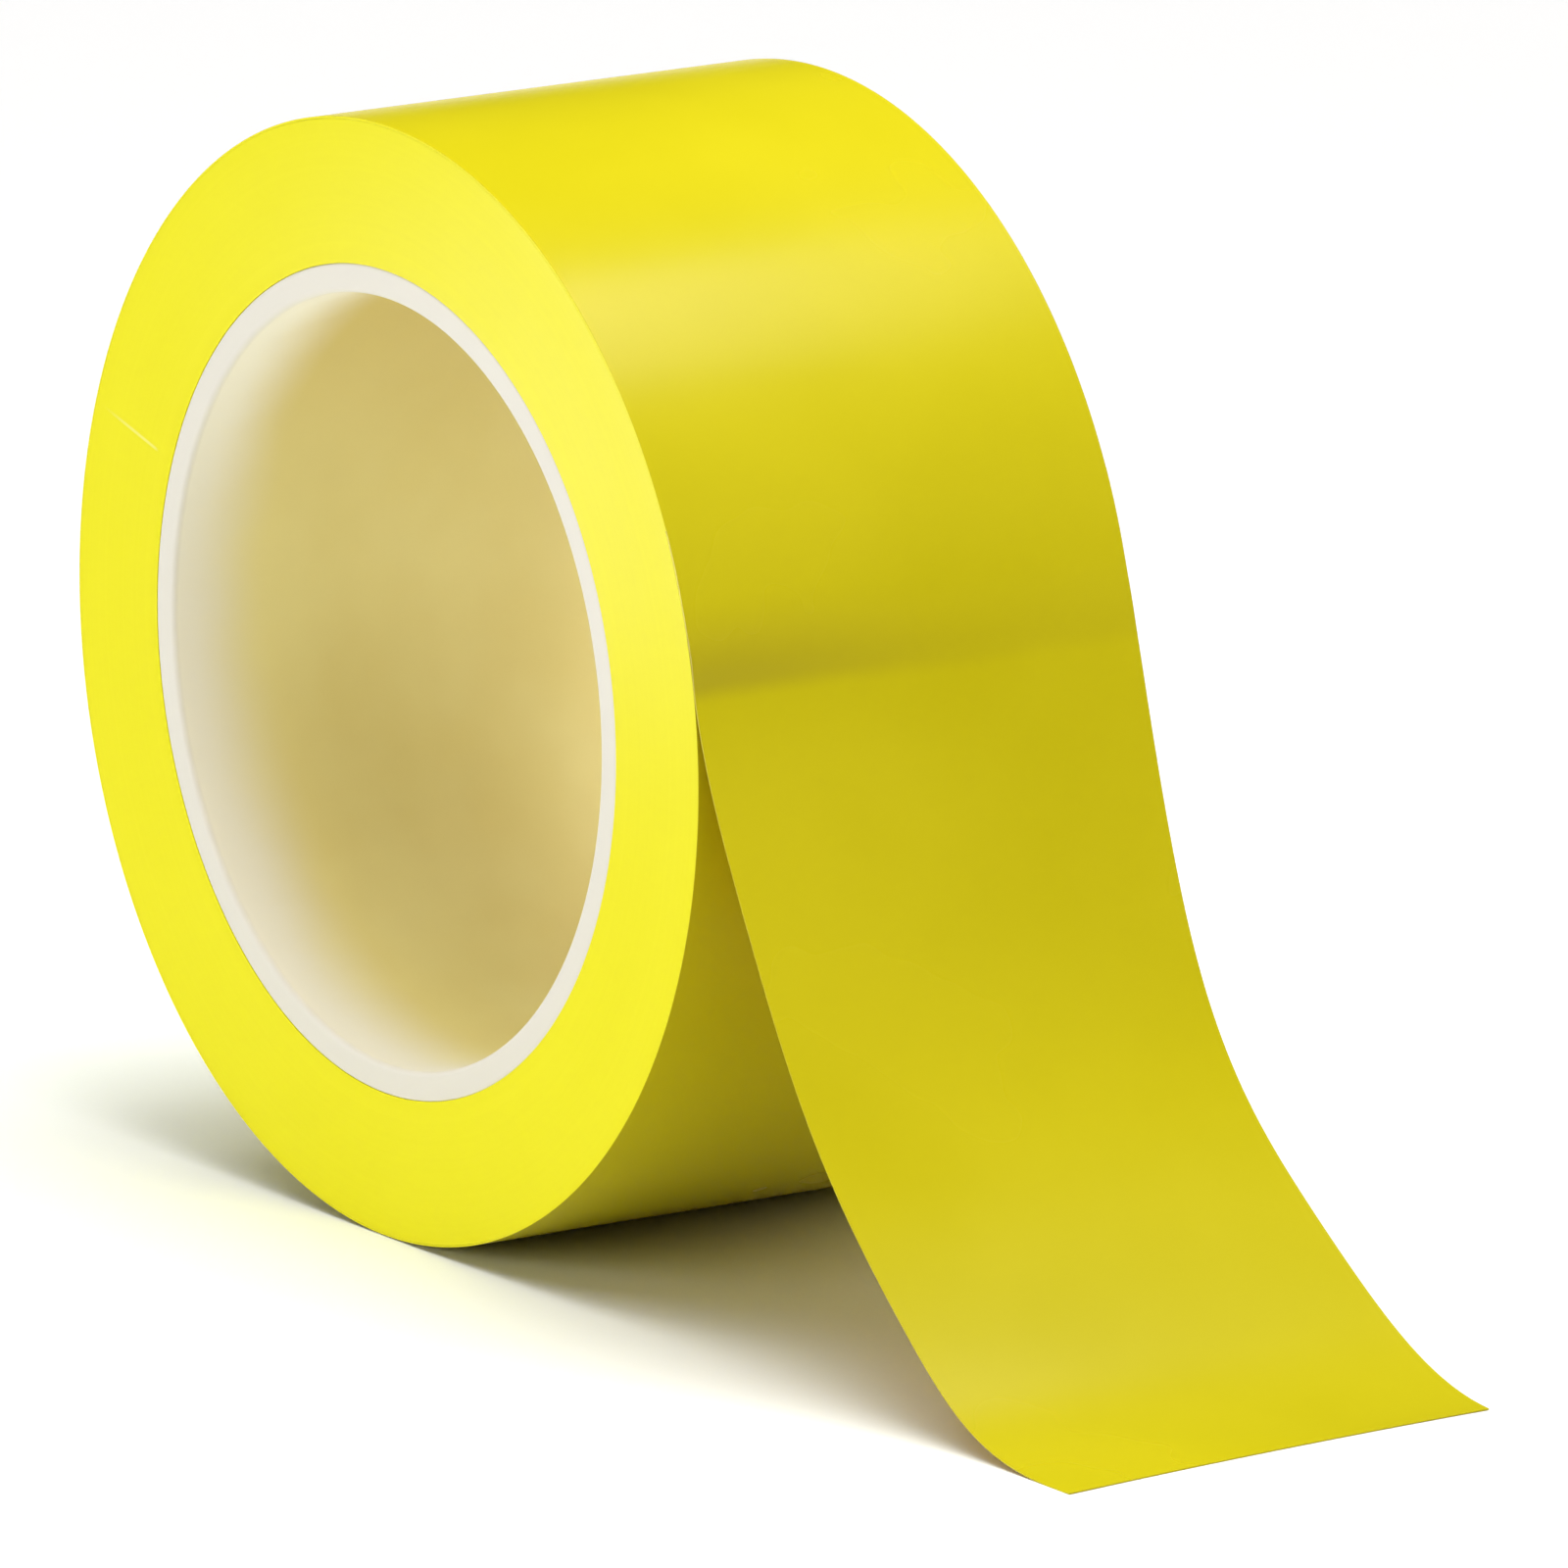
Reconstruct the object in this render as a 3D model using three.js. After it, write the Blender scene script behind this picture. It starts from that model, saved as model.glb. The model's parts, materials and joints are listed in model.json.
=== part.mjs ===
// A roll of vinyl masking tape standing on its rim, with its free end peeled off the roll.
//
// Millimetres, +Z up. The origin is on the bench, under the roll's axis, at the middle of the
// tape's width. The roll's axis runs along +Y, and the free end leaves the roll on the +X side,
// curves down and lies flat on the bench.
import * as THREE from 'three';

// ---- driving dimensions ----
const TAPE_WIDTH = 50.8;            // the 2 inch width
const TAPE_THICKNESS = 0.13;        // vinyl film with its adhesive
const ROLL_RADIUS = 55.35;          // outermost turn, to the middle of its flats
const CORE_RADIUS = 41.0;           // outside of the moulded core
const BORE_RADIUS = 38.1;           // the 3 inch bore
const CORE_CHAMFER = 0.4;           // on all four edges of the core
const GAP = 0.3;                    // kept between pieces that touch on the real roll
const FACETS = 96;                  // flats round each turned piece

const PEEL_ANGLE = THREE.MathUtils.degToRad(14);   // where the tape leaves, above the axis
const PEEL_HANDLE = 40.0;           // how far the free end keeps the direction it left in
const LANDING_HANDLE = 27.0;        // how far before its tip it comes in level with the bench
const TIP_X = 117.0;                // middle of the cut end
const CUT_SKEW = 1.65;              // the cut is oblique: longer by this at -Y, shorter at +Y
const TIP_CLEARANCE = 0.3;          // keeps the lower corner of the sloping last stretch off the bench
const TAIL_LINKS = 8;               // rigid stretches that stand for the flexible free end

// ---- worked out from them ----
const PACK_RADIUS = ROLL_RADIUS - TAPE_THICKNESS - GAP;
const PACK_BORE_RADIUS = CORE_RADIUS + GAP;
const FACET_ANGLE = (2 * Math.PI) / FACETS;
const HALF_WIDTH = TAPE_WIDTH / 2;

function vinyl() {
  return new THREE.MeshStandardMaterial({ color: 0xf2e61c, roughness: 0.35, metalness: 0 });
}

function mouldedPlastic() {
  return new THREE.MeshStandardMaterial({ color: 0xe9e4d6, roughness: 0.5, metalness: 0 });
}

function named(name, geometry, material) {
  const mesh = new THREE.Mesh(geometry, material);
  mesh.name = name;
  return mesh;
}

// Turns a closed profile of [radius, y] points round the Y axis. Each radius is the distance to
// the middle of a flat, and one flat faces straight down.
function turned(profile) {
  const toCorner = 1 / Math.cos(FACET_ANGLE / 2);
  const points = profile.map(([radius, y]) => new THREE.Vector2(radius * toCorner, y));
  points.push(points[0].clone());
  return new THREE.LatheGeometry(points, FACETS, FACET_ANGLE / 2, 2 * Math.PI);
}

// A square-edged ring as wide as the tape.
function tapeRing(inner, outer) {
  return turned([
    [inner, -HALF_WIDTH],
    [outer, -HALF_WIDTH],
    [outer, HALF_WIDTH],
    [inner, HALF_WIDTH],
  ]);
}

// The moulded tube that the tape is wound on, with its four edges chamfered.
function core() {
  const end = HALF_WIDTH;
  const cut = CORE_CHAMFER;
  const geometry = turned([
    [BORE_RADIUS + cut, -end],
    [CORE_RADIUS - cut, -end],
    [CORE_RADIUS, -end + cut],
    [CORE_RADIUS, end - cut],
    [CORE_RADIUS - cut, end],
    [BORE_RADIUS + cut, end],
    [BORE_RADIUS, end - cut],
    [BORE_RADIUS, -end + cut],
  ]);
  return named('core', geometry, mouldedPlastic());
}

// Every turn of tape but the outermost one.
function tapePack() {
  return named('tape_pack', tapeRing(PACK_BORE_RADIUS, PACK_RADIUS), vinyl());
}

// The outermost turn, which ends at the line where the free end peels away.
function outerTurn() {
  return named('outer_turn', tapeRing(ROLL_RADIUS - TAPE_THICKNESS, ROLL_RADIUS), vinyl());
}

// The middle line of the free end, seen along +Y with X to the right, from the roll's axis.
// It leaves along the tangent of the roll and comes in level at the bench.
function tailCurve() {
  const start = new THREE.Vector2(Math.cos(PEEL_ANGLE), Math.sin(PEEL_ANGLE));
  start.multiplyScalar(ROLL_RADIUS + GAP + TAPE_THICKNESS / 2);
  const leaving = new THREE.Vector2(Math.sin(PEEL_ANGLE), -Math.cos(PEEL_ANGLE));
  const tip = new THREE.Vector2(TIP_X, TIP_CLEARANCE + TAPE_THICKNESS / 2 - ROLL_RADIUS);
  return new THREE.CubicBezierCurve(
    start,
    start.clone().addScaledVector(leaving, PEEL_HANDLE),
    new THREE.Vector2(tip.x - LANDING_HANDLE, tip.y),
    tip,
  );
}

// A flat stretch of tape. X runs along it, and skew makes its far end oblique.
function strip(length, skew) {
  const outline = new THREE.Shape();
  outline.moveTo(0, -HALF_WIDTH);
  outline.lineTo(length + skew, -HALF_WIDTH);
  outline.lineTo(length - skew, HALF_WIDTH);
  outline.lineTo(0, HALF_WIDTH);
  outline.closePath();
  const geometry = new THREE.ExtrudeGeometry(outline, { depth: TAPE_THICKNESS, bevelEnabled: false });
  return geometry.translate(0, 0, -TAPE_THICKNESS / 2);
}

// The free end as flat strips along its curve. Each hinge line is midway between two strips.
function tail() {
  const group = new THREE.Group();
  const hinges = tailCurve().getSpacedPoints(TAIL_LINKS);
  for (let i = 0; i < TAIL_LINKS; i += 1) {
    const from = hinges[i];
    const to = hinges[i + 1];
    const isLast = i === TAIL_LINKS - 1;
    const span = to.distanceTo(from);
    const length = isLast ? span - GAP / 2 : span - GAP;
    const mesh = named(`tail_${i + 1}`, strip(length, isLast ? CUT_SKEW : 0), vinyl());
    const along = to.clone().sub(from).normalize();
    const start = from.clone().addScaledVector(along, GAP / 2);
    mesh.position.set(start.x, 0, start.y);
    mesh.rotation.y = -Math.atan2(along.y, along.x);
    group.add(mesh);
  }
  return group;
}

const roll = new THREE.Group();
roll.position.z = ROLL_RADIUS;
roll.add(core(), tapePack(), outerTurn(), tail());

export default roll;
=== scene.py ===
# A roll of yellow vinyl masking tape that stands on its rim, with its free end peeled off.
#
# Metres, +Z up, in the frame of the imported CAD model. The roll's axis runs along +Y above the
# origin. The free end leaves the roll on the +X side, curves down and lies on the floor.
import json
import math
import random

import bpy
import numpy as np
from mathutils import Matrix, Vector


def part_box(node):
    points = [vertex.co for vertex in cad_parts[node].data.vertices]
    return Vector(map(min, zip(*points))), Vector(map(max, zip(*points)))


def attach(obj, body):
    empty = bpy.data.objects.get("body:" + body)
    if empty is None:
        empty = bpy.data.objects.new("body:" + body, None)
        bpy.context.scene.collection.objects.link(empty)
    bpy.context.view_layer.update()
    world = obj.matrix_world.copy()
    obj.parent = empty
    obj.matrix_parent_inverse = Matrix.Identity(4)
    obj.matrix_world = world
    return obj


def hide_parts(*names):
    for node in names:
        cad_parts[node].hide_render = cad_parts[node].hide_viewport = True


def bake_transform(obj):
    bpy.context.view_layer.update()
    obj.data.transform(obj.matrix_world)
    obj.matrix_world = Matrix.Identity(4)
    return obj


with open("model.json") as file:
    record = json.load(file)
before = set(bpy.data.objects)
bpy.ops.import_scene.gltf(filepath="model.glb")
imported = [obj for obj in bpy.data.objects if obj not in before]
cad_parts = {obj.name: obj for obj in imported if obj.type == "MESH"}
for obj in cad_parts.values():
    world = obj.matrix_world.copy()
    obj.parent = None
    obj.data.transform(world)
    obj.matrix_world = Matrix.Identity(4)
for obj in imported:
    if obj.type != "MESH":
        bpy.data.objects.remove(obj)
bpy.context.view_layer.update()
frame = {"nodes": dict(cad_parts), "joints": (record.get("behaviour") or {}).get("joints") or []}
MM = 0.001

# ---- sizes from the frame ----
TURN_LOW, TURN_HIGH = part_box("outer_turn")
CORE_LOW, CORE_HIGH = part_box("core")
ROLL_RADIUS = (TURN_HIGH.z - TURN_LOW.z) / 2
CORE_RADIUS = (CORE_HIGH.z - CORE_LOW.z) / 2
HALF_WIDTH = (TURN_HIGH.y - TURN_LOW.y) / 2
AXIS = Vector((0.0, 0.0, (TURN_LOW.z + TURN_HIGH.z) / 2))
JOINTS = {joint["name"]: joint for joint in frame["joints"]}
TAIL_LINKS = sum(name.startswith("tail_") for name in frame["nodes"])

# ---- the roll ----
CORE_WALL = 2.9 * MM
CORE_OUTER_ROUND = 0.2 * MM         # rounding of the core's edge against the tape
CORE_INNER_ROUND = 0.55 * MM        # rounding of the bore's edge
CORE_RECESS = 0.04 * MM             # how far the core's ends lie inside the tape's side faces
TURN_PITCH = 0.13 * MM              # what each turn adds to the radius
PACK_CLEARANCE = 0.02 * MM          # between the other turns and the outermost one
FILM = 0.12 * MM                    # thickness of the film that is drawn
FILM_EDGE_ROUND = 0.03 * MM
TURN_GROOVE = 0.007 * MM            # depth of the grooves between the turns on the side faces
TURN_DRIFT = 0.004 * MM             # how far single turns stand in or out
SCRATCH_START = (-40.4 * MM, 15.7 * MM)         # x and z from the axis, beside the core
SCRATCH_ANGLE = math.radians(165.0)             # the way it runs from there, from +X
SCRATCH_LENGTH = 11.0 * MM
RING_SEGMENTS = 192
WRAP_SEGMENTS = 360
WRAP_SLIT = 0.02 * MM               # between the two ends of the outermost turn, under the free end
SHARP_ANGLE = math.radians(30.0)    # faces that meet at more than this get a sharp edge

# ---- the free end ----
START_ANGLE = math.radians(26.0)    # above the axis, where the strips take over from the roll
SLOPE_STEP = 12.5 * MM              # distance between two slopes in the lists below
# Each edge leaves the roll at its own height, because the strip is slightly twisted. The slopes
# are degrees above the horizon, and the first one is the roll's own slope at that height.
NEAR_EDGE = {
    "leaves": 10.9,
    "slopes": (-65.3, -61.3, -57.4, -48.7, -41.3, -34.3, -10.0, 4.1),
    "length": 98.0 * MM,
}
FAR_EDGE = {
    "leaves": 17.6,
    "slopes": (-74.0, -71.8, -65.5, -51.4, -37.3, -32.9, -25.2, -6.2),
    "length": 101.8 * MM,
}
SIDE_DRIFT = -0.4 * MM              # how far the tip lies towards -Y
# A soft crease across the tape at its peel line: it stands a little off the roll just before the
# line, and a painted shade darkens its colour there. Both are strongest at the near edge.
CREASE_AT = (START_ANGLE - math.radians(NEAR_EDGE["leaves"])) * ROLL_RADIUS + 1.2 * MM
CREASE_NEAR = 0.12 * MM
CREASE_FAR = 0.04 * MM
CREASE_RUN = 7.0 * MM               # how far before the peel line it starts
CREASE_CREST = -0.4                 # where it is highest, as a share of that run
CREASE_END = 0.12                   # where it is gone again
CREASE_SHADE = 0.62                  # how strong the painted shade gets at the near edge
FREE_SAMPLES = 800                  # points along each edge of the free stretch
LYING_SAMPLES = 60                  # and along the stretch that still lies on the roll
STRIP_STEP = 0.25 * MM
STRIP_ROWS = 28
SEAM_MARGIN = 0.9 * MM              # how far inside each seam between two strips its blend points lie

# ---- camera ----
CAMERA_AZIMUTH = math.radians(56.16)
CAMERA_ELEVATION = math.radians(13.1)
CAMERA_DISTANCE = 2.3
CAMERA_LENS = 541.2
CAMERA_SENSOR = 36.0
AIM_RIGHT = 17.8 * MM
AIM_UP = -13.0 * MM


# ---------------------------------------------------------------- meshes


def mesh_piece(name, points, faces, materials, face_materials=None, smooth_angle=None):
    """A mesh object in the row frame. Faces meeting at more than smooth_angle get a sharp edge."""
    mesh = bpy.data.meshes.new(name)
    mesh.from_pydata([tuple(p) for p in points], [], [tuple(f) for f in faces])
    for material in materials:
        mesh.materials.append(material)
    if face_materials is not None:
        mesh.polygons.foreach_set("material_index", np.asarray(face_materials, np.int32))
    mesh.shade_smooth()
    if smooth_angle is not None:
        mesh.set_sharp_from_angle(angle=smooth_angle)
    mesh.update()
    piece = bpy.data.objects.new(name, mesh)
    bpy.context.scene.collection.objects.link(piece)
    return piece


def revolve(name, profile, segments, materials, profile_materials, smooth_angle):
    """Turns a closed profile of (radius, y) round the roll's axis. The profile runs anticlockwise
    with y to the right and the radius up, and profile_materials holds one index for each side."""
    count = len(profile)
    points = []
    for i in range(segments):
        angle = 2 * math.pi * i / segments
        for radius, y in profile:
            points.append((radius * math.cos(angle), y, AXIS.z + radius * math.sin(angle)))
    faces = []
    face_materials = []
    for i in range(segments):
        here = i * count
        there = (i + 1) % segments * count
        for j in range(count):
            k = (j + 1) % count
            faces.append((here + j, there + j, there + k, here + k))
            face_materials.append(profile_materials[j])
    return mesh_piece(name, points, faces, materials, face_materials, smooth_angle)


def arc(centre, radius, start, end, steps):
    """Points on an arc, as (radius, y) pairs. Angles are degrees from +radius towards +y."""
    found = []
    for i in range(steps + 1):
        angle = math.radians(start + (end - start) * i / steps)
        found.append((centre[0] + radius * math.cos(angle), centre[1] + radius * math.sin(angle)))
    return found


def held_flat(start, end):
    """Two points just inside a straight stretch of a profile, which keep its shading flat although
    it meets rounded edges."""
    inside = 0.25 * MM
    a, b = Vector(start), Vector(end)
    step = (b - a).normalized() * inside
    return [tuple(a + step), tuple(b - step)]


# ---------------------------------------------------------------- materials


class Nodes:
    """Short names for making a material's nodes."""

    def __init__(self, name):
        self.material = bpy.data.materials.new(name)
        self.material.use_nodes = True
        self.tree = self.material.node_tree
        self.shader = self.tree.nodes["Principled BSDF"]

    def add(self, kind, settings=None, **inputs):
        node = self.tree.nodes.new("ShaderNode" + kind)
        for key, value in (settings or {}).items():
            setattr(node, key, value)
        for key, value in inputs.items():
            self.put(node.inputs[key.replace("_", " ")], value)
        return node

    def put(self, socket, value):
        if isinstance(value, bpy.types.NodeSocket):
            self.tree.links.new(value, socket)
        else:
            socket.default_value = value

    def math(self, operation, a, b=0.0, clamp=False):
        node = self.tree.nodes.new("ShaderNodeMath")
        node.operation = operation
        node.use_clamp = clamp
        self.put(node.inputs[0], a)
        self.put(node.inputs[1], b)
        return node.outputs[0]

    def remap(self, value, low, high, to_low, to_high):
        """Smooth step from to_low at low to to_high at high."""
        node = self.add("MapRange", {"interpolation_type": "SMOOTHSTEP"}, Value=value)
        for key, number in zip(("From Min", "From Max", "To Min", "To Max"), (low, high, to_low, to_high)):
            self.put(node.inputs[key], number)
        return node.outputs["Result"]

    def noise(self, place, scale, detail=2.0, roughness=0.5):
        """Fractal noise with features about 1 / scale metres across."""
        node = self.add("TexNoise", None, Vector=place, Scale=scale, Detail=detail, Roughness=roughness)
        return node.outputs["Fac"]

    def mix(self, share, a, b):
        node = self.add("Mix", {"data_type": "RGBA"})
        self.put(node.inputs[0], share)
        self.put(node.inputs[6], a)
        self.put(node.inputs[7], b)
        return node.outputs[2]

    def stretch(self, place, scale):
        """The same place with its axes scaled, which stretches the noise read there."""
        node = self.add("Mapping", None, Vector=place)
        node.inputs["Scale"].default_value = scale
        return node.outputs["Vector"]

    def bump(self, height, depth, below=None):
        node = self.add("Bump", None, Height=height, Strength=1.0, Distance=depth)
        if below is not None:
            self.put(node.inputs["Normal"], below)
        return node.outputs["Normal"]

    def object_place(self):
        return self.add("TexCoord").outputs["Object"]

    def tape_place(self):
        """Metres along and across the tape, so the grain runs on from strip to strip."""
        return self.add("UVMap", {"uv_map": "tape"}).outputs["UV"]


def colour(red, green, blue):
    """A linear colour for a shader socket."""
    return (red, green, blue, 1.0)


def crease_painted_shade(nodes, place, cloud):
    """The band of painted shade along the crease, as a mask. It is sharper on the side of the free end."""
    parts = nodes.add("SeparateXYZ", None, Vector=place)
    waver = nodes.math("MULTIPLY", nodes.math("SUBTRACT", cloud, 0.5), 3.0 * MM)
    along = nodes.math("ADD", parts.outputs["X"], waver)
    rise = nodes.remap(along, CREASE_AT - 9.0 * MM, CREASE_AT - 1.5 * MM, 0.0, 1.0)
    fall = nodes.remap(along, CREASE_AT - 0.6 * MM, CREASE_AT + 1.6 * MM, 1.0, 0.0)
    near, far = -0.9 * HALF_WIDTH, 0.4 * HALF_WIDTH
    across = nodes.remap(parts.outputs["Y"], near, far, CREASE_SHADE, 0.30 * CREASE_SHADE)
    return nodes.math("MULTIPLY", nodes.math("MULTIPLY", rise, fall), across)


def vinyl_film():
    """The outer surface of the tape: satin, calendered PVC."""
    nodes = Nodes("vinyl_film")
    place = nodes.tape_place()
    cloud = nodes.noise(place, 28.0, 3.0)
    along = nodes.noise(nodes.stretch(place, (0.15, 1.0, 1.0)), 900.0, 2.0)
    grain = nodes.noise(place, 3200.0, 2.0, 0.6)
    tint = nodes.remap(cloud, 0.3, 0.7, 0.0, 1.0)
    base = nodes.mix(tint, colour(0.537, 0.476, 0.005), colour(0.568, 0.504, 0.007))
    # painted shade: the film's colour is darkened along the crease, standing in for its shadow
    crease_shaded = nodes.mix(crease_painted_shade(nodes, place, cloud), base, colour(0.395, 0.330, 0.014))
    nodes.put(nodes.shader.inputs["Base Color"], crease_shaded)
    nodes.put(nodes.shader.inputs["Roughness"], nodes.remap(cloud, 0.25, 0.75, 0.24, 0.28))
    nodes.shader.inputs["Specular IOR Level"].default_value = 0.15
    normal = nodes.bump(grain, 0.0007 * MM)
    normal = nodes.bump(along, 0.0015 * MM, normal)
    nodes.put(nodes.shader.inputs["Normal"], normal)
    return nodes.material


def adhesive_side():
    """The inner surface of the tape: a warmer yellow, with the faint mottle of its adhesive."""
    nodes = Nodes("adhesive_side")
    place = nodes.tape_place()
    mottle = nodes.noise(place, 420.0, 3.0, 0.6)
    cloud = nodes.noise(place, 45.0, 2.0)
    tint = nodes.remap(cloud, 0.3, 0.7, 0.0, 1.0)
    base = nodes.mix(tint, colour(0.73, 0.46, 0.020), colour(0.76, 0.49, 0.028))
    nodes.put(nodes.shader.inputs["Base Color"], base)
    nodes.put(nodes.shader.inputs["Roughness"], nodes.remap(mottle, 0.35, 0.65, 0.40, 0.46))
    nodes.shader.inputs["Specular IOR Level"].default_value = 0.25
    nodes.put(nodes.shader.inputs["Normal"], nodes.bump(mottle, 0.0015 * MM))
    return nodes.material


def scratch(nodes, x, y, z):
    """A faint straight scratch on the front side face, as a mask. It fades towards the rim."""
    x = nodes.math("SUBTRACT", x, SCRATCH_START[0])
    z = nodes.math("SUBTRACT", z, SCRATCH_START[1])
    cosine = math.cos(SCRATCH_ANGLE)
    sine = math.sin(SCRATCH_ANGLE)
    along = nodes.math("ADD", nodes.math("MULTIPLY", x, cosine), nodes.math("MULTIPLY", z, sine))
    aside = nodes.math("SUBTRACT", nodes.math("MULTIPLY", z, cosine), nodes.math("MULTIPLY", x, sine))
    width = nodes.remap(nodes.math("ABSOLUTE", aside), 0.05 * MM, 0.24 * MM, 0.55, 0.0)
    starts = nodes.remap(along, 0.0, 0.8 * MM, 0.0, 1.0)
    stops = nodes.remap(along, 0.45 * SCRATCH_LENGTH, SCRATCH_LENGTH, 1.0, 0.0)
    front = nodes.math("LESS_THAN", y, 0.0)
    return nodes.math("MULTIPLY", nodes.math("MULTIPLY", width, front), nodes.math("MULTIPLY", starts, stops))


def wound_edge():
    """The side faces: the cut edges of all the turns, with a faint scratch across them."""
    nodes = Nodes("wound_edge")
    place = nodes.object_place()
    parts = nodes.add("SeparateXYZ", None, Vector=place)
    x = parts.outputs["X"]
    z = nodes.math("SUBTRACT", parts.outputs["Z"], AXIS.z)
    radius = nodes.math("SQRT", nodes.math("ADD", nodes.math("MULTIPLY", x, x), nodes.math("MULTIPLY", z, z)))
    on_ring = nodes.add("CombineXYZ", None, X=radius, Y=parts.outputs["Y"])
    bands = nodes.noise(on_ring.outputs[0], 900.0, 3.0, 0.65)
    broad = nodes.noise(place, 30.0, 2.0)
    speck = nodes.noise(place, 2600.0, 2.0, 0.6)
    tint = nodes.math("ADD", nodes.math("MULTIPLY", bands, 0.55), nodes.math("MULTIPLY", broad, 0.45))
    clean = nodes.mix(
        nodes.remap(tint, 0.35, 0.65, 0.0, 1.0), colour(0.828, 0.777, 0.011), colour(0.846, 0.796, 0.015)
    )
    base = nodes.mix(scratch(nodes, x, parts.outputs["Y"], z), clean, colour(0.90, 0.87, 0.30))
    nodes.put(nodes.shader.inputs["Base Color"], base)
    nodes.put(nodes.shader.inputs["Roughness"], nodes.remap(bands, 0.3, 0.7, 0.35, 0.41))
    nodes.shader.inputs["Specular IOR Level"].default_value = 0.05
    normal = nodes.bump(speck, 0.004 * MM)
    nodes.put(nodes.shader.inputs["Normal"], nodes.bump(bands, 0.003 * MM, normal))
    return nodes.material


def core_plastic():
    """The core: milky moulded plastic. The bore has painted light near its ends, more at the front end
    than the back, and is khaki deeper in, where the tape would show through the wall; a painted shade
    makes it a little darker high up. The end faces are greyer."""
    nodes = Nodes("core_plastic")
    place = nodes.object_place()
    parts = nodes.add("SeparateXYZ", None, Vector=place)
    depth_front = nodes.math("ADD", parts.outputs["Y"], HALF_WIDTH)
    depth_back = nodes.math("SUBTRACT", HALF_WIDTH, parts.outputs["Y"])
    cloud = nodes.noise(place, 42.0, 3.0, 0.55)
    waver = nodes.math("MULTIPLY", nodes.math("SUBTRACT", cloud, 0.5), 6.0 * MM)
    # painted light: the bore is paler near its ends, most at the front end, where light comes in
    front_end_light = nodes.remap(nodes.math("ADD", depth_front, waver), 1.5 * MM, 12.5 * MM, 1.0, 0.0)
    back_end_light = nodes.remap(nodes.math("ADD", depth_back, waver), 0.3 * MM, 2.0 * MM, 0.6, 0.0)
    painted_end_light = nodes.math("MAXIMUM", front_end_light, back_end_light, clamp=True)
    tint = nodes.remap(cloud, 0.3, 0.7, 0.0, 1.0)
    deep = nodes.mix(tint, colour(0.91, 0.80, 0.34), colour(0.97, 0.88, 0.41))
    # painted shade: the bore is a little darker high up
    high = nodes.math("SUBTRACT", parts.outputs["Z"], AXIS.z)
    high_up_shade = nodes.remap(high, -0.1 * CORE_RADIUS, 0.9 * CORE_RADIUS, 0.0, 0.9)
    shaded_high_up = nodes.mix(high_up_shade, deep, colour(0.62, 0.50, 0.18))
    bore = nodes.mix(painted_end_light, shaded_high_up, colour(0.95, 0.93, 0.82))
    depth = nodes.math("MINIMUM", depth_front, depth_back)
    end_face = nodes.remap(depth, 0.15 * MM, 0.80 * MM, 1.0, 0.0)
    base = nodes.mix(end_face, bore, colour(0.76, 0.74, 0.66))
    fine = nodes.noise(nodes.stretch(place, (1.0, 0.06, 1.0)), 700.0, 2.0)
    nodes.put(nodes.shader.inputs["Base Color"], base)
    nodes.put(nodes.shader.inputs["Roughness"], nodes.remap(cloud, 0.3, 0.7, 0.42, 0.50))
    nodes.shader.inputs["Specular IOR Level"].default_value = 0.06
    nodes.put(nodes.shader.inputs["Normal"], nodes.bump(fine, 0.006 * MM))
    return nodes.material


def floor_paper():
    """The pale floor: smooth matt paper."""
    nodes = Nodes("floor_paper")
    fibre = nodes.noise(nodes.object_place(), 1500.0, 3.0)
    base = nodes.mix(fibre, colour(0.93, 0.965, 0.965), colour(0.95, 0.985, 0.985))
    nodes.put(nodes.shader.inputs["Base Color"], base)
    nodes.shader.inputs["Roughness"].default_value = 0.9
    nodes.shader.inputs["Specular IOR Level"].default_value = 0.0
    return nodes.material


FILM_LOOK = vinyl_film()
ADHESIVE_LOOK = adhesive_side()
EDGE_LOOK = wound_edge()
CORE_LOOK = core_plastic()
FLOOR_LOOK = floor_paper()


# ---------------------------------------------------------------- the roll


def roll_core():
    """The moulded tube, with rounded edges."""
    bore = CORE_RADIUS - CORE_WALL
    end = HALF_WIDTH - CORE_RECESS
    outer = CORE_OUTER_ROUND
    inner = CORE_INNER_ROUND
    profile = arc((CORE_RADIUS - outer, end - outer), outer, 90, 0, 4)
    profile += held_flat(profile[-1], (CORE_RADIUS, outer - end))
    profile += arc((CORE_RADIUS - outer, outer - end), outer, 0, -90, 4)
    profile += held_flat(profile[-1], (bore + inner, -end))
    profile += arc((bore + inner, inner - end), inner, -90, -180, 6)
    profile += held_flat(profile[-1], (bore, end - inner))
    profile += arc((bore + inner, end - inner), inner, 180, 90, 6)
    profile += held_flat(profile[-1], profile[0])
    piece = revolve("roll_core", profile, RING_SEGMENTS, [CORE_LOOK], [0] * len(profile), SHARP_ANGLE)
    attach(piece, "roll")
    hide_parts("core")


def side_ridges(inner, outer, side, seed):
    """One side face from the inner radius out: a groove and a crown for each turn."""
    chance = random.Random(seed)
    turns = round((outer - inner) / TURN_PITCH)
    pitch = (outer - inner) / turns
    found = []
    for turn in range(turns):
        start = inner + turn * pitch
        crown = HALF_WIDTH - chance.random() * TURN_DRIFT
        found.append((start, side * (HALF_WIDTH - TURN_GROOVE)))
        found.append((start + pitch / 2, side * crown))
    found.append((outer, side * (HALF_WIDTH - TURN_GROOVE)))
    return found


def tape_turns():
    """Every turn but the outermost, with the edge of each turn on both side faces."""
    inner = CORE_RADIUS
    outer = ROLL_RADIUS - 2 * TURN_PITCH - PACK_CLEARANCE
    front = side_ridges(inner, outer, -1, 3)
    back = side_ridges(inner, outer, 1, 8)
    profile = front[::-1] + back
    piece = revolve("tape_turns", profile, RING_SEGMENTS, [EDGE_LOOK], [0] * len(profile), SHARP_ANGLE)
    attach(piece, "roll")
    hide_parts("tape_pack")


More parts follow.
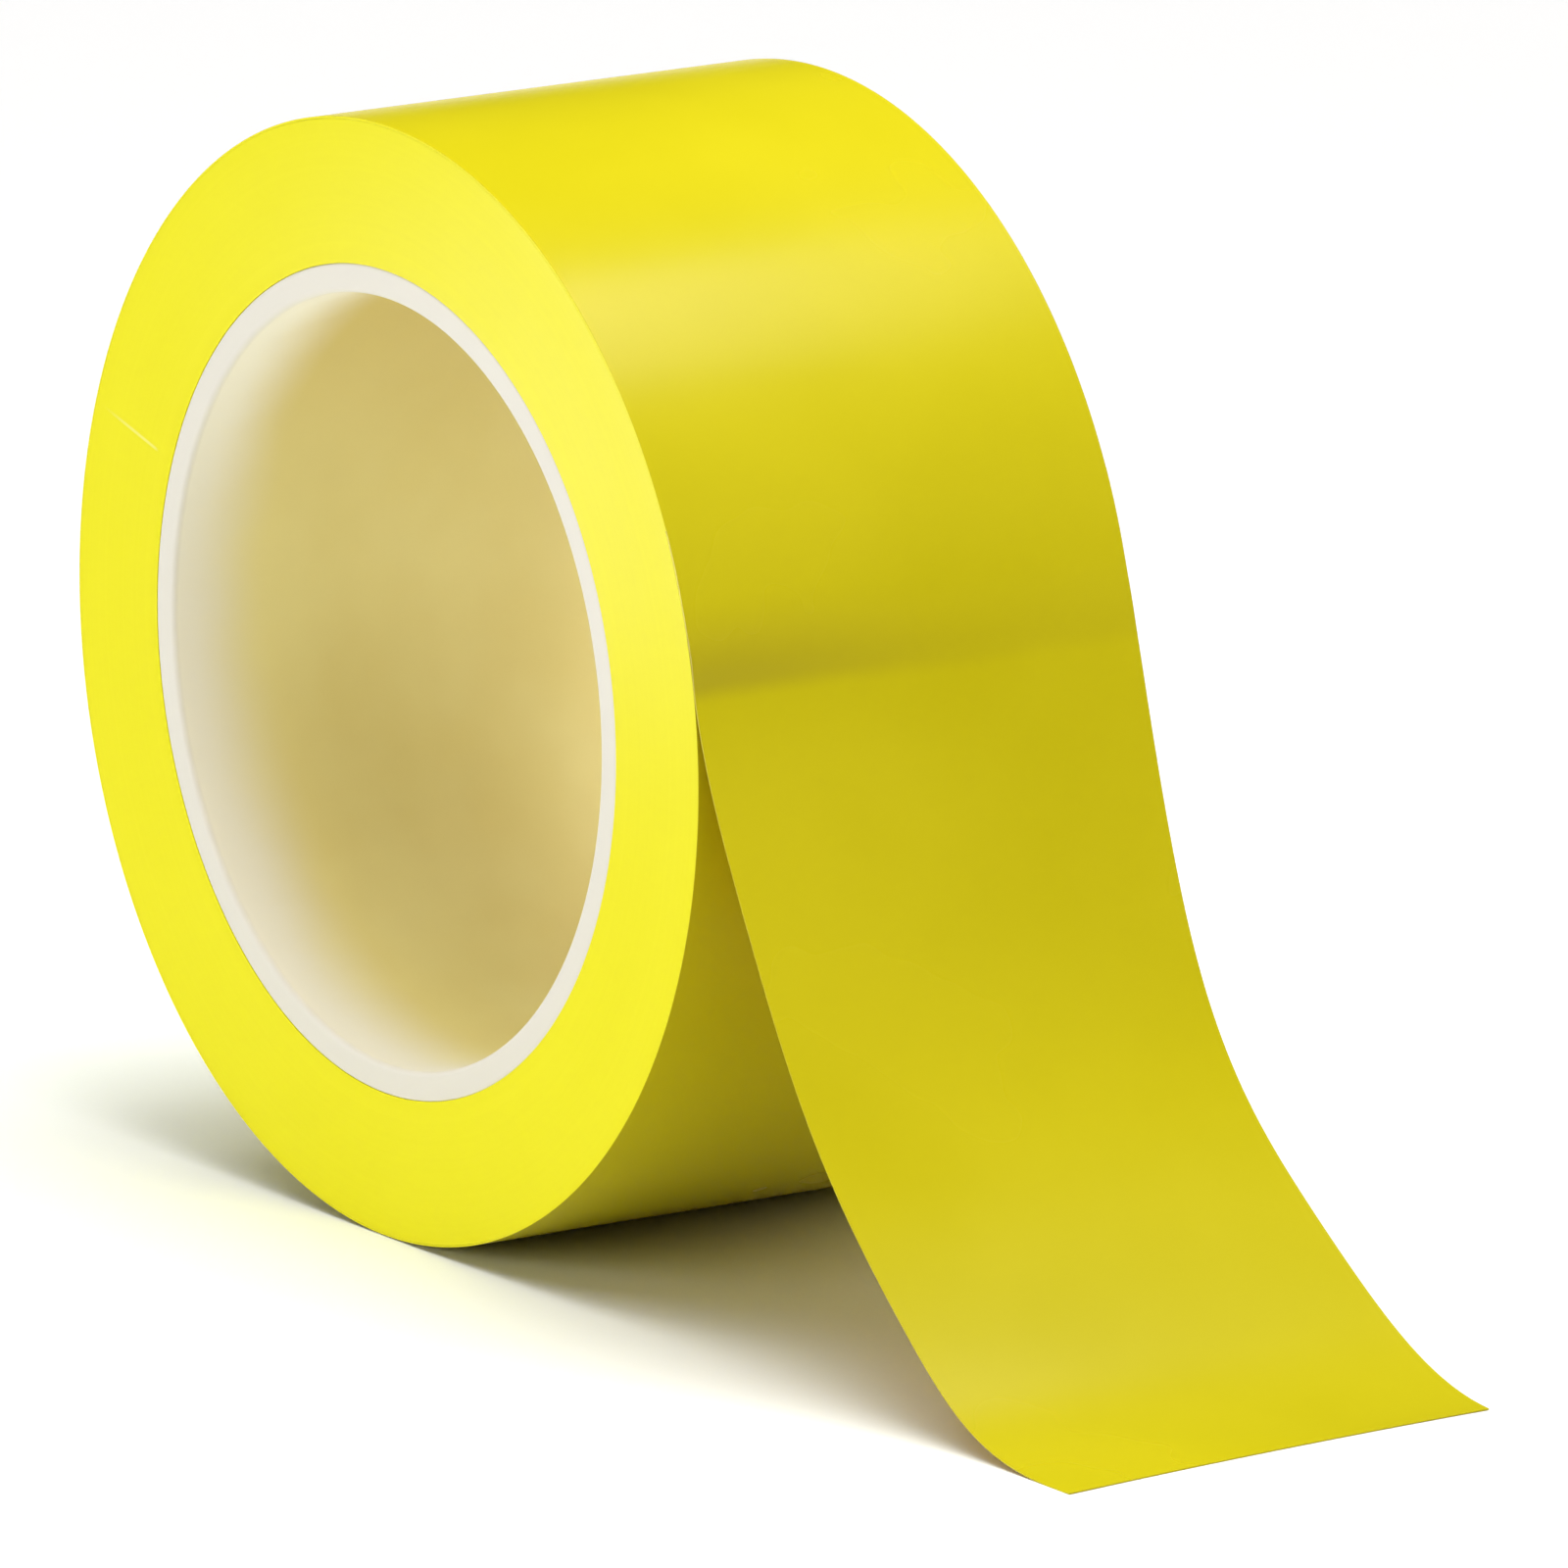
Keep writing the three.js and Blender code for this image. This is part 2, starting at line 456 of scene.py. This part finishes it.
def set_tape_places(mesh, places):
    """Stores where each vertex lies on the tape: metres along it and across it."""
    corners = np.zeros(len(mesh.loops), np.int32)
    mesh.loops.foreach_get("vertex_index", corners)
    layer = mesh.uv_layers.new(name="tape")
    layer.uv.foreach_set("vector", np.asarray(places, np.float32)[corners].ravel())


def outer_wrap():
    """The outermost turn. It spirals in by its own thickness, down to where it started."""
    inner = ROLL_RADIUS - 2 * TURN_PITCH
    cut = FILM_EDGE_ROUND
    whole = 2 * math.pi - WRAP_SLIT / ROLL_RADIUS
    points = []
    places = []
    for i in range(WRAP_SEGMENTS + 1):
        share = i / WRAP_SEGMENTS
        angle = START_ANGLE + whole * share
        outer = ROLL_RADIUS - TURN_PITCH * share
        profile = (
            (inner, -HALF_WIDTH), (outer - cut, -HALF_WIDTH), (outer, -HALF_WIDTH + cut),
            (outer, HALF_WIDTH - cut), (outer - cut, HALF_WIDTH), (inner, HALF_WIDTH),
        )
        for radius, y in profile:
            points.append((radius * math.cos(angle), y, AXIS.z + radius * math.sin(angle)))
            places.append((-whole * share * ROLL_RADIUS, y))
    count = len(profile)
    faces = [tuple(range(count))[::-1]]
    looks = [1]
    for i in range(WRAP_SEGMENTS):
        for j in range(count):
            k = (j + 1) % count
            here = i * count
            faces.append((here + j, here + k, here + count + k, here + count + j))
            looks.append(1 if j in (0, 4, 5) else 0)
    faces.append(tuple(WRAP_SEGMENTS * count + j for j in range(count)))
    looks.append(1)
    piece = mesh_piece("outer_wrap", points, faces, [FILM_LOOK, EDGE_LOOK], looks, SHARP_ANGLE)
    set_tape_places(piece.data, places)
    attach(piece, "outer_turn")
    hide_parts("outer_turn")


# ---------------------------------------------------------------- the free end


def spline(knots, values, at):
    """A natural cubic spline through the knots, read at the given places."""
    gaps = np.diff(knots)
    rises = np.diff(values) / gaps
    count = len(knots)
    system = np.eye(count)
    right = np.zeros(count)
    for i in range(1, count - 1):
        system[i, i - 1:i + 2] = gaps[i - 1], 2 * (gaps[i - 1] + gaps[i]), gaps[i]
        right[i] = 3 * (rises[i] - rises[i - 1])
    curve = np.linalg.solve(system, right)
    i = np.clip(np.searchsorted(knots, at) - 1, 0, count - 2)
    t = at - knots[i]
    first = rises[i] - gaps[i] * (2 * curve[i] + curve[i + 1]) / 3
    return values[i] + t * (first + t * (curve[i] + t * (curve[i + 1] - curve[i]) / (3 * gaps[i])))


def edge_path(edge, side):
    """(distances, points) along one edge of the free end's outer surface, from START_ANGLE. It lies
    on the roll as far as the height where it leaves, and follows its list of slopes from there."""
    leaves = math.radians(edge["leaves"])
    on_roll = (START_ANGLE - leaves) * ROLL_RADIUS
    slopes = np.radians([edge["leaves"] - 90.0, *edge["slopes"]])
    knots = SLOPE_STEP * np.arange(len(slopes))
    free = np.linspace(0.0, edge["length"], FREE_SAMPLES)
    middle = (free[1:] + free[:-1]) / 2
    direction = spline(knots, slopes, middle)
    step = free[1]
    x = ROLL_RADIUS * math.cos(leaves) + step * np.concatenate([[0.0], np.cumsum(np.cos(direction))])
    z = ROLL_RADIUS * math.sin(leaves) + step * np.concatenate([[0.0], np.cumsum(np.sin(direction))])
    lying = np.linspace(START_ANGLE, leaves, LYING_SAMPLES)[:-1]
    distances = np.concatenate([(START_ANGLE - lying) * ROLL_RADIUS, on_roll + free])
    x = np.concatenate([ROLL_RADIUS * np.cos(lying), x])
    z = np.concatenate([ROLL_RADIUS * np.sin(lying), z])
    drift = SIDE_DRIFT * (distances / distances[-1]) ** 2
    return distances, np.stack([x, side * HALF_WIDTH + drift, AXIS.z + z], axis=1)


NEAR_PATH = edge_path(NEAR_EDGE, -1)
FAR_PATH = edge_path(FAR_EDGE, 1)


def on_path(path, distance):
    distances, points = path
    return np.stack([np.interp(distance, distances, points[:, axis]) for axis in range(3)], axis=-1)


def smooth_step(value, low, high):
    share = np.clip((value - low) / (high - low), 0.0, 1.0)
    return share * share * (3 - 2 * share)


def crease(distance, across):
    """How far the tape stands off the roll, just before the line where it leaves."""
    height = CREASE_FAR + (CREASE_NEAR - CREASE_FAR) * (1 - across) ** 2
    run = (distance - CREASE_AT) / CREASE_RUN
    return height * smooth_step(run, -1.0, CREASE_CREST) * (1 - smooth_step(run, CREASE_CREST, CREASE_END))


def on_tail(distance, across):
    """The outer surface of the free end, at a distance along it and a share of its width."""
    across = np.asarray(across)
    near = on_path(NEAR_PATH, distance)
    far = on_path(FAR_PATH, distance)
    flat = near + (far - near) * across[..., None]
    outward = (flat - np.array(AXIS)) * (1.0, 0.0, 1.0)
    outward /= np.linalg.norm(outward, axis=-1, keepdims=True)
    return flat + outward * crease(distance, across)[..., None]


def tail_seams():
    """Distances along the free end where one strip stops and the next one starts: first the line
    where the strips take over from the roll, then the middle of each link but the last."""
    seams = [0.0]
    distances = NEAR_PATH[0]
    middle = on_tail(distances, np.full(len(distances), 0.5))
    for link in range(1, TAIL_LINKS):
        low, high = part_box(f"tail_{link}")
        centre = np.array((low + high) / 2)
        seams.append(float(distances[np.argmin(np.linalg.norm(middle - centre, axis=1))]))
    return seams


def strip_grid(start, end, cut):
    """Distances and shares of the width of a strip's grid. The last strip ends at the oblique cut."""
    across = np.linspace(0.0, 1.0, STRIP_ROWS + 1)
    steps = round((end - start) / STRIP_STEP)
    along = np.linspace(0.0, 1.0, steps + 1)
    ends = np.full(len(across), end)
    if cut:
        ends = NEAR_PATH[0][-1] + (FAR_PATH[0][-1] - NEAR_PATH[0][-1]) * across
    distance = start + (ends[None, :] - start) * along[:, None]
    return distance, np.broadcast_to(across, distance.shape)


def surface_normals(distance, across):
    """Unit normals of the free end's outer surface, pointing away from the adhesive side."""
    nudge = 0.3 * MM
    share = 0.01
    ahead = on_tail(distance + nudge, across) - on_tail(distance - nudge, across)
    sideways = on_tail(distance, across + share) - on_tail(distance, across - share)
    normal = np.cross(ahead, sideways)
    normal /= np.linalg.norm(normal, axis=-1, keepdims=True)
    return normal * np.sign(normal[..., 2:3])


def tail_strip(index, start, end, nodes):
    """A closed strip of film from one seam to the next."""
    cut = end is None
    distance, across = strip_grid(start, NEAR_PATH[0][-1] if cut else end, cut)
    rows, columns = distance.shape
    outer = on_tail(distance, across)
    normal = surface_normals(distance, across)
    inner = outer - normal * FILM
    points = np.concatenate([outer.reshape(-1, 3), inner.reshape(-1, 3)])
    places = np.stack([distance.ravel(), (across.ravel() * 2 - 1) * HALF_WIDTH], axis=1)
    number = np.arange(rows * columns).reshape(rows, columns)
    under = number + rows * columns
    faces = []
    looks = []
    corner_normals = []
    flat_normals = normal.reshape(-1, 3)

    def face(corners, look, normals):
        faces.append(corners)
        looks.append(look)
        corner_normals.extend(normals)

    for i in range(rows - 1):
        for j in range(columns - 1):
            ring = (number[i, j], number[i + 1, j], number[i + 1, j + 1], number[i, j + 1])
            face(ring, 0, [flat_normals[k] for k in ring])
            below = (under[i, j], under[i, j + 1], under[i + 1, j + 1], under[i + 1, j])
            face(below, 1, [-flat_normals[k - rows * columns] for k in below])
    rims = (
        [(number[i, 0], number[i + 1, 0]) for i in range(rows - 1)],
        [(number[-1, j], number[-1, j + 1]) for j in range(columns - 1)],
        [(number[i + 1, -1], number[i, -1]) for i in range(rows - 1)],
        [(number[0, j + 1], number[0, j]) for j in range(columns - 1)],
    )
    for rim in rims:
        for a, b in rim:
            ring = (b, a, a + rows * columns, b + rows * columns)
            outward = np.cross(points[b] - points[a], flat_normals[a])
            outward /= np.linalg.norm(outward)
            face(ring, 0, [outward] * 4)
    name = f"tail_strip_{index}"
    piece = mesh_piece(name, points, faces, [FILM_LOOK, ADHESIVE_LOOK], looks)
    piece.data.normals_split_custom_set([tuple(n) for n in corner_normals])
    set_tape_places(piece.data, np.concatenate([places, places]))
    bends_from = blend_point(start, SEAM_MARGIN, index)
    bends_to = blend_point(end, -SEAM_MARGIN, index)
    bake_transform(piece)
    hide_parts(*nodes)


def blend_point(distance, margin, index):
    """A point on the free end's middle line, a little inside a strip's seam."""
    if index == 1 and margin > 0:
        return Vector(JOINTS["tail_lift"]["pos_m"])
    if distance is None:
        low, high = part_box(f"tail_{TAIL_LINKS}")
        return (low + high) / 2
    return Vector(on_tail(np.array([distance + margin]), np.array([0.5]))[0])


def free_end():
    """One strip across each hinge. The first also covers the stretch that still lies on the roll."""
    seams = tail_seams()
    for index in range(1, TAIL_LINKS + 1):
        start = seams[index - 1]
        end = seams[index] if index < TAIL_LINKS else None
        tail_strip(index, start, end, [f"tail_{index}"])


# ---------------------------------------------------------------- studio


def floor():
    """A wide pale floor under the roll."""
    size = 30.0
    corners = [(-size, -size, 0.0), (size, -size, 0.0), (size, size, 0.0), (-size, size, 0.0)]
    mesh_piece("floor", corners, [(0, 1, 2, 3)], [FLOOR_LOOK])


def add_lamp(name, data, place, toward):
    """Links a lamp at a place, shining from the direction toward."""
    lamp = bpy.data.objects.new(name, data)
    lamp.location = place
    lamp.rotation_mode = "QUATERNION"
    lamp.rotation_quaternion = toward.to_track_quat("Z", "Y")
    bpy.context.scene.collection.objects.link(lamp)
    return lamp


def broad_light(name, direction, spread, power, tint):
    """Soft even light from a wide part of the sky. The film doesn't mirror it."""
    data = bpy.data.lights.new(name, "SUN")
    data.energy = power
    data.angle = math.radians(spread)
    data.color = tint
    lamp = add_lamp(name, data, AXIS, Vector(direction).normalized())
    lamp.visible_glossy = False


def near_light(name, place, size, power, tint):
    """A round lamp close above the roll, which lights its top more than its free end. Its place is
    in millimetres from the axis, and it shines straight down. The film doesn't mirror it."""
    data = bpy.data.lights.new(name, "AREA")
    data.shape = "DISK"
    data.size = size * MM
    data.energy = power
    data.color = tint
    lamp = add_lamp(name, data, AXIS + Vector(place) * MM, Vector((0.0, 0.0, 1.0)))
    lamp.visible_camera = False
    lamp.visible_glossy = False


def sheen_panel(name, place, aim, size, power):
    """A small panel close to the roll that only makes a reflection. Millimetres from the axis."""
    data = bpy.data.lights.new(name, "AREA")
    data.shape = "RECTANGLE"
    data.size = size[0] * MM
    data.size_y = size[1] * MM
    data.energy = power
    stands = AXIS + Vector(place) * MM
    toward = (stands - AXIS - Vector(aim) * MM).normalized()
    lamp = add_lamp(name, data, stands, toward)
    lamp.visible_camera = False
    lamp.visible_diffuse = False


def backdrop():
    """A world that is dark above and pale from the horizon down, where the floor ends."""
    painted_end_light, dark, band = 1.05, 0.02, 0.02
    world = bpy.data.worlds.new("backdrop")
    world.use_nodes = True
    tree = world.node_tree
    background = tree.nodes["Background"]
    direction = tree.nodes.new("ShaderNodeTexCoord").outputs["Generated"]
    parts = tree.nodes.new("ShaderNodeSeparateXYZ")
    ramp = tree.nodes.new("ShaderNodeMapRange")
    tree.links.new(direction, parts.inputs[0])
    tree.links.new(parts.outputs["Z"], ramp.inputs["Value"])
    for key, number in zip(("From Min", "From Max", "To Min", "To Max"), (0.0, band, painted_end_light, dark)):
        ramp.inputs[key].default_value = number
    tree.links.new(ramp.outputs["Result"], background.inputs["Strength"])
    background.inputs["Color"].default_value = (1.0, 1.0, 1.0, 1.0)
    bpy.context.scene.world = world


def studio():
    backdrop()
    broad_light("overhead", (0.0, 0.0, 1.0), 70.0, 1.93, (1.0, 1.0, 0.97))
    broad_light("top_left", (-0.75, 0.10, 0.65), 60.0, 0.58, (1.0, 0.96, 0.97))
    broad_light("top_right", (0.70, 0.20, 0.70), 60.0, 0.90, (1.0, 0.82, 0.88))
    broad_light("front_low", (-0.20, -0.97, 0.12), 40.0, 1.54, (1.0, 0.95, 0.97))
    near_light("near_top", (40, 0, 330), 260, 0.72, (1.0, 1.0, 0.88))
    sheen_panel("tread_sheen", (90, 115, 400), (74, 115, 0), (240, 185), 1.01)
    sheen_panel("side_sheen", (-63, -95, 6), (34, -25, 29), (50, 50), 0.082)
    bpy.context.scene.view_settings.view_transform = "Standard"


def camera():
    """The photographer's viewpoint: a long lens, from the front right and slightly above."""
    a, e = CAMERA_AZIMUTH, CAMERA_ELEVATION
    back = Vector((math.sin(a) * math.cos(e), -math.cos(a) * math.cos(e), math.sin(e)))
    right = Vector((math.cos(a), math.sin(a), 0.0))
    up = back.cross(right)
    data = bpy.data.cameras.new("camera")
    data.lens = CAMERA_LENS
    data.sensor_width = CAMERA_SENSOR
    data.clip_start = 0.05
    data.clip_end = 60.0
    view = bpy.data.objects.new("camera", data)
    view.location = AXIS + right * AIM_RIGHT + up * AIM_UP + back * CAMERA_DISTANCE
    view.rotation_mode = "QUATERNION"
    view.rotation_quaternion = back.to_track_quat("Z", "Y")
    bpy.context.scene.collection.objects.link(view)
    bpy.context.scene.camera = view


camera()
floor()
studio()
roll_core()
tape_turns()
outer_wrap()
free_end()
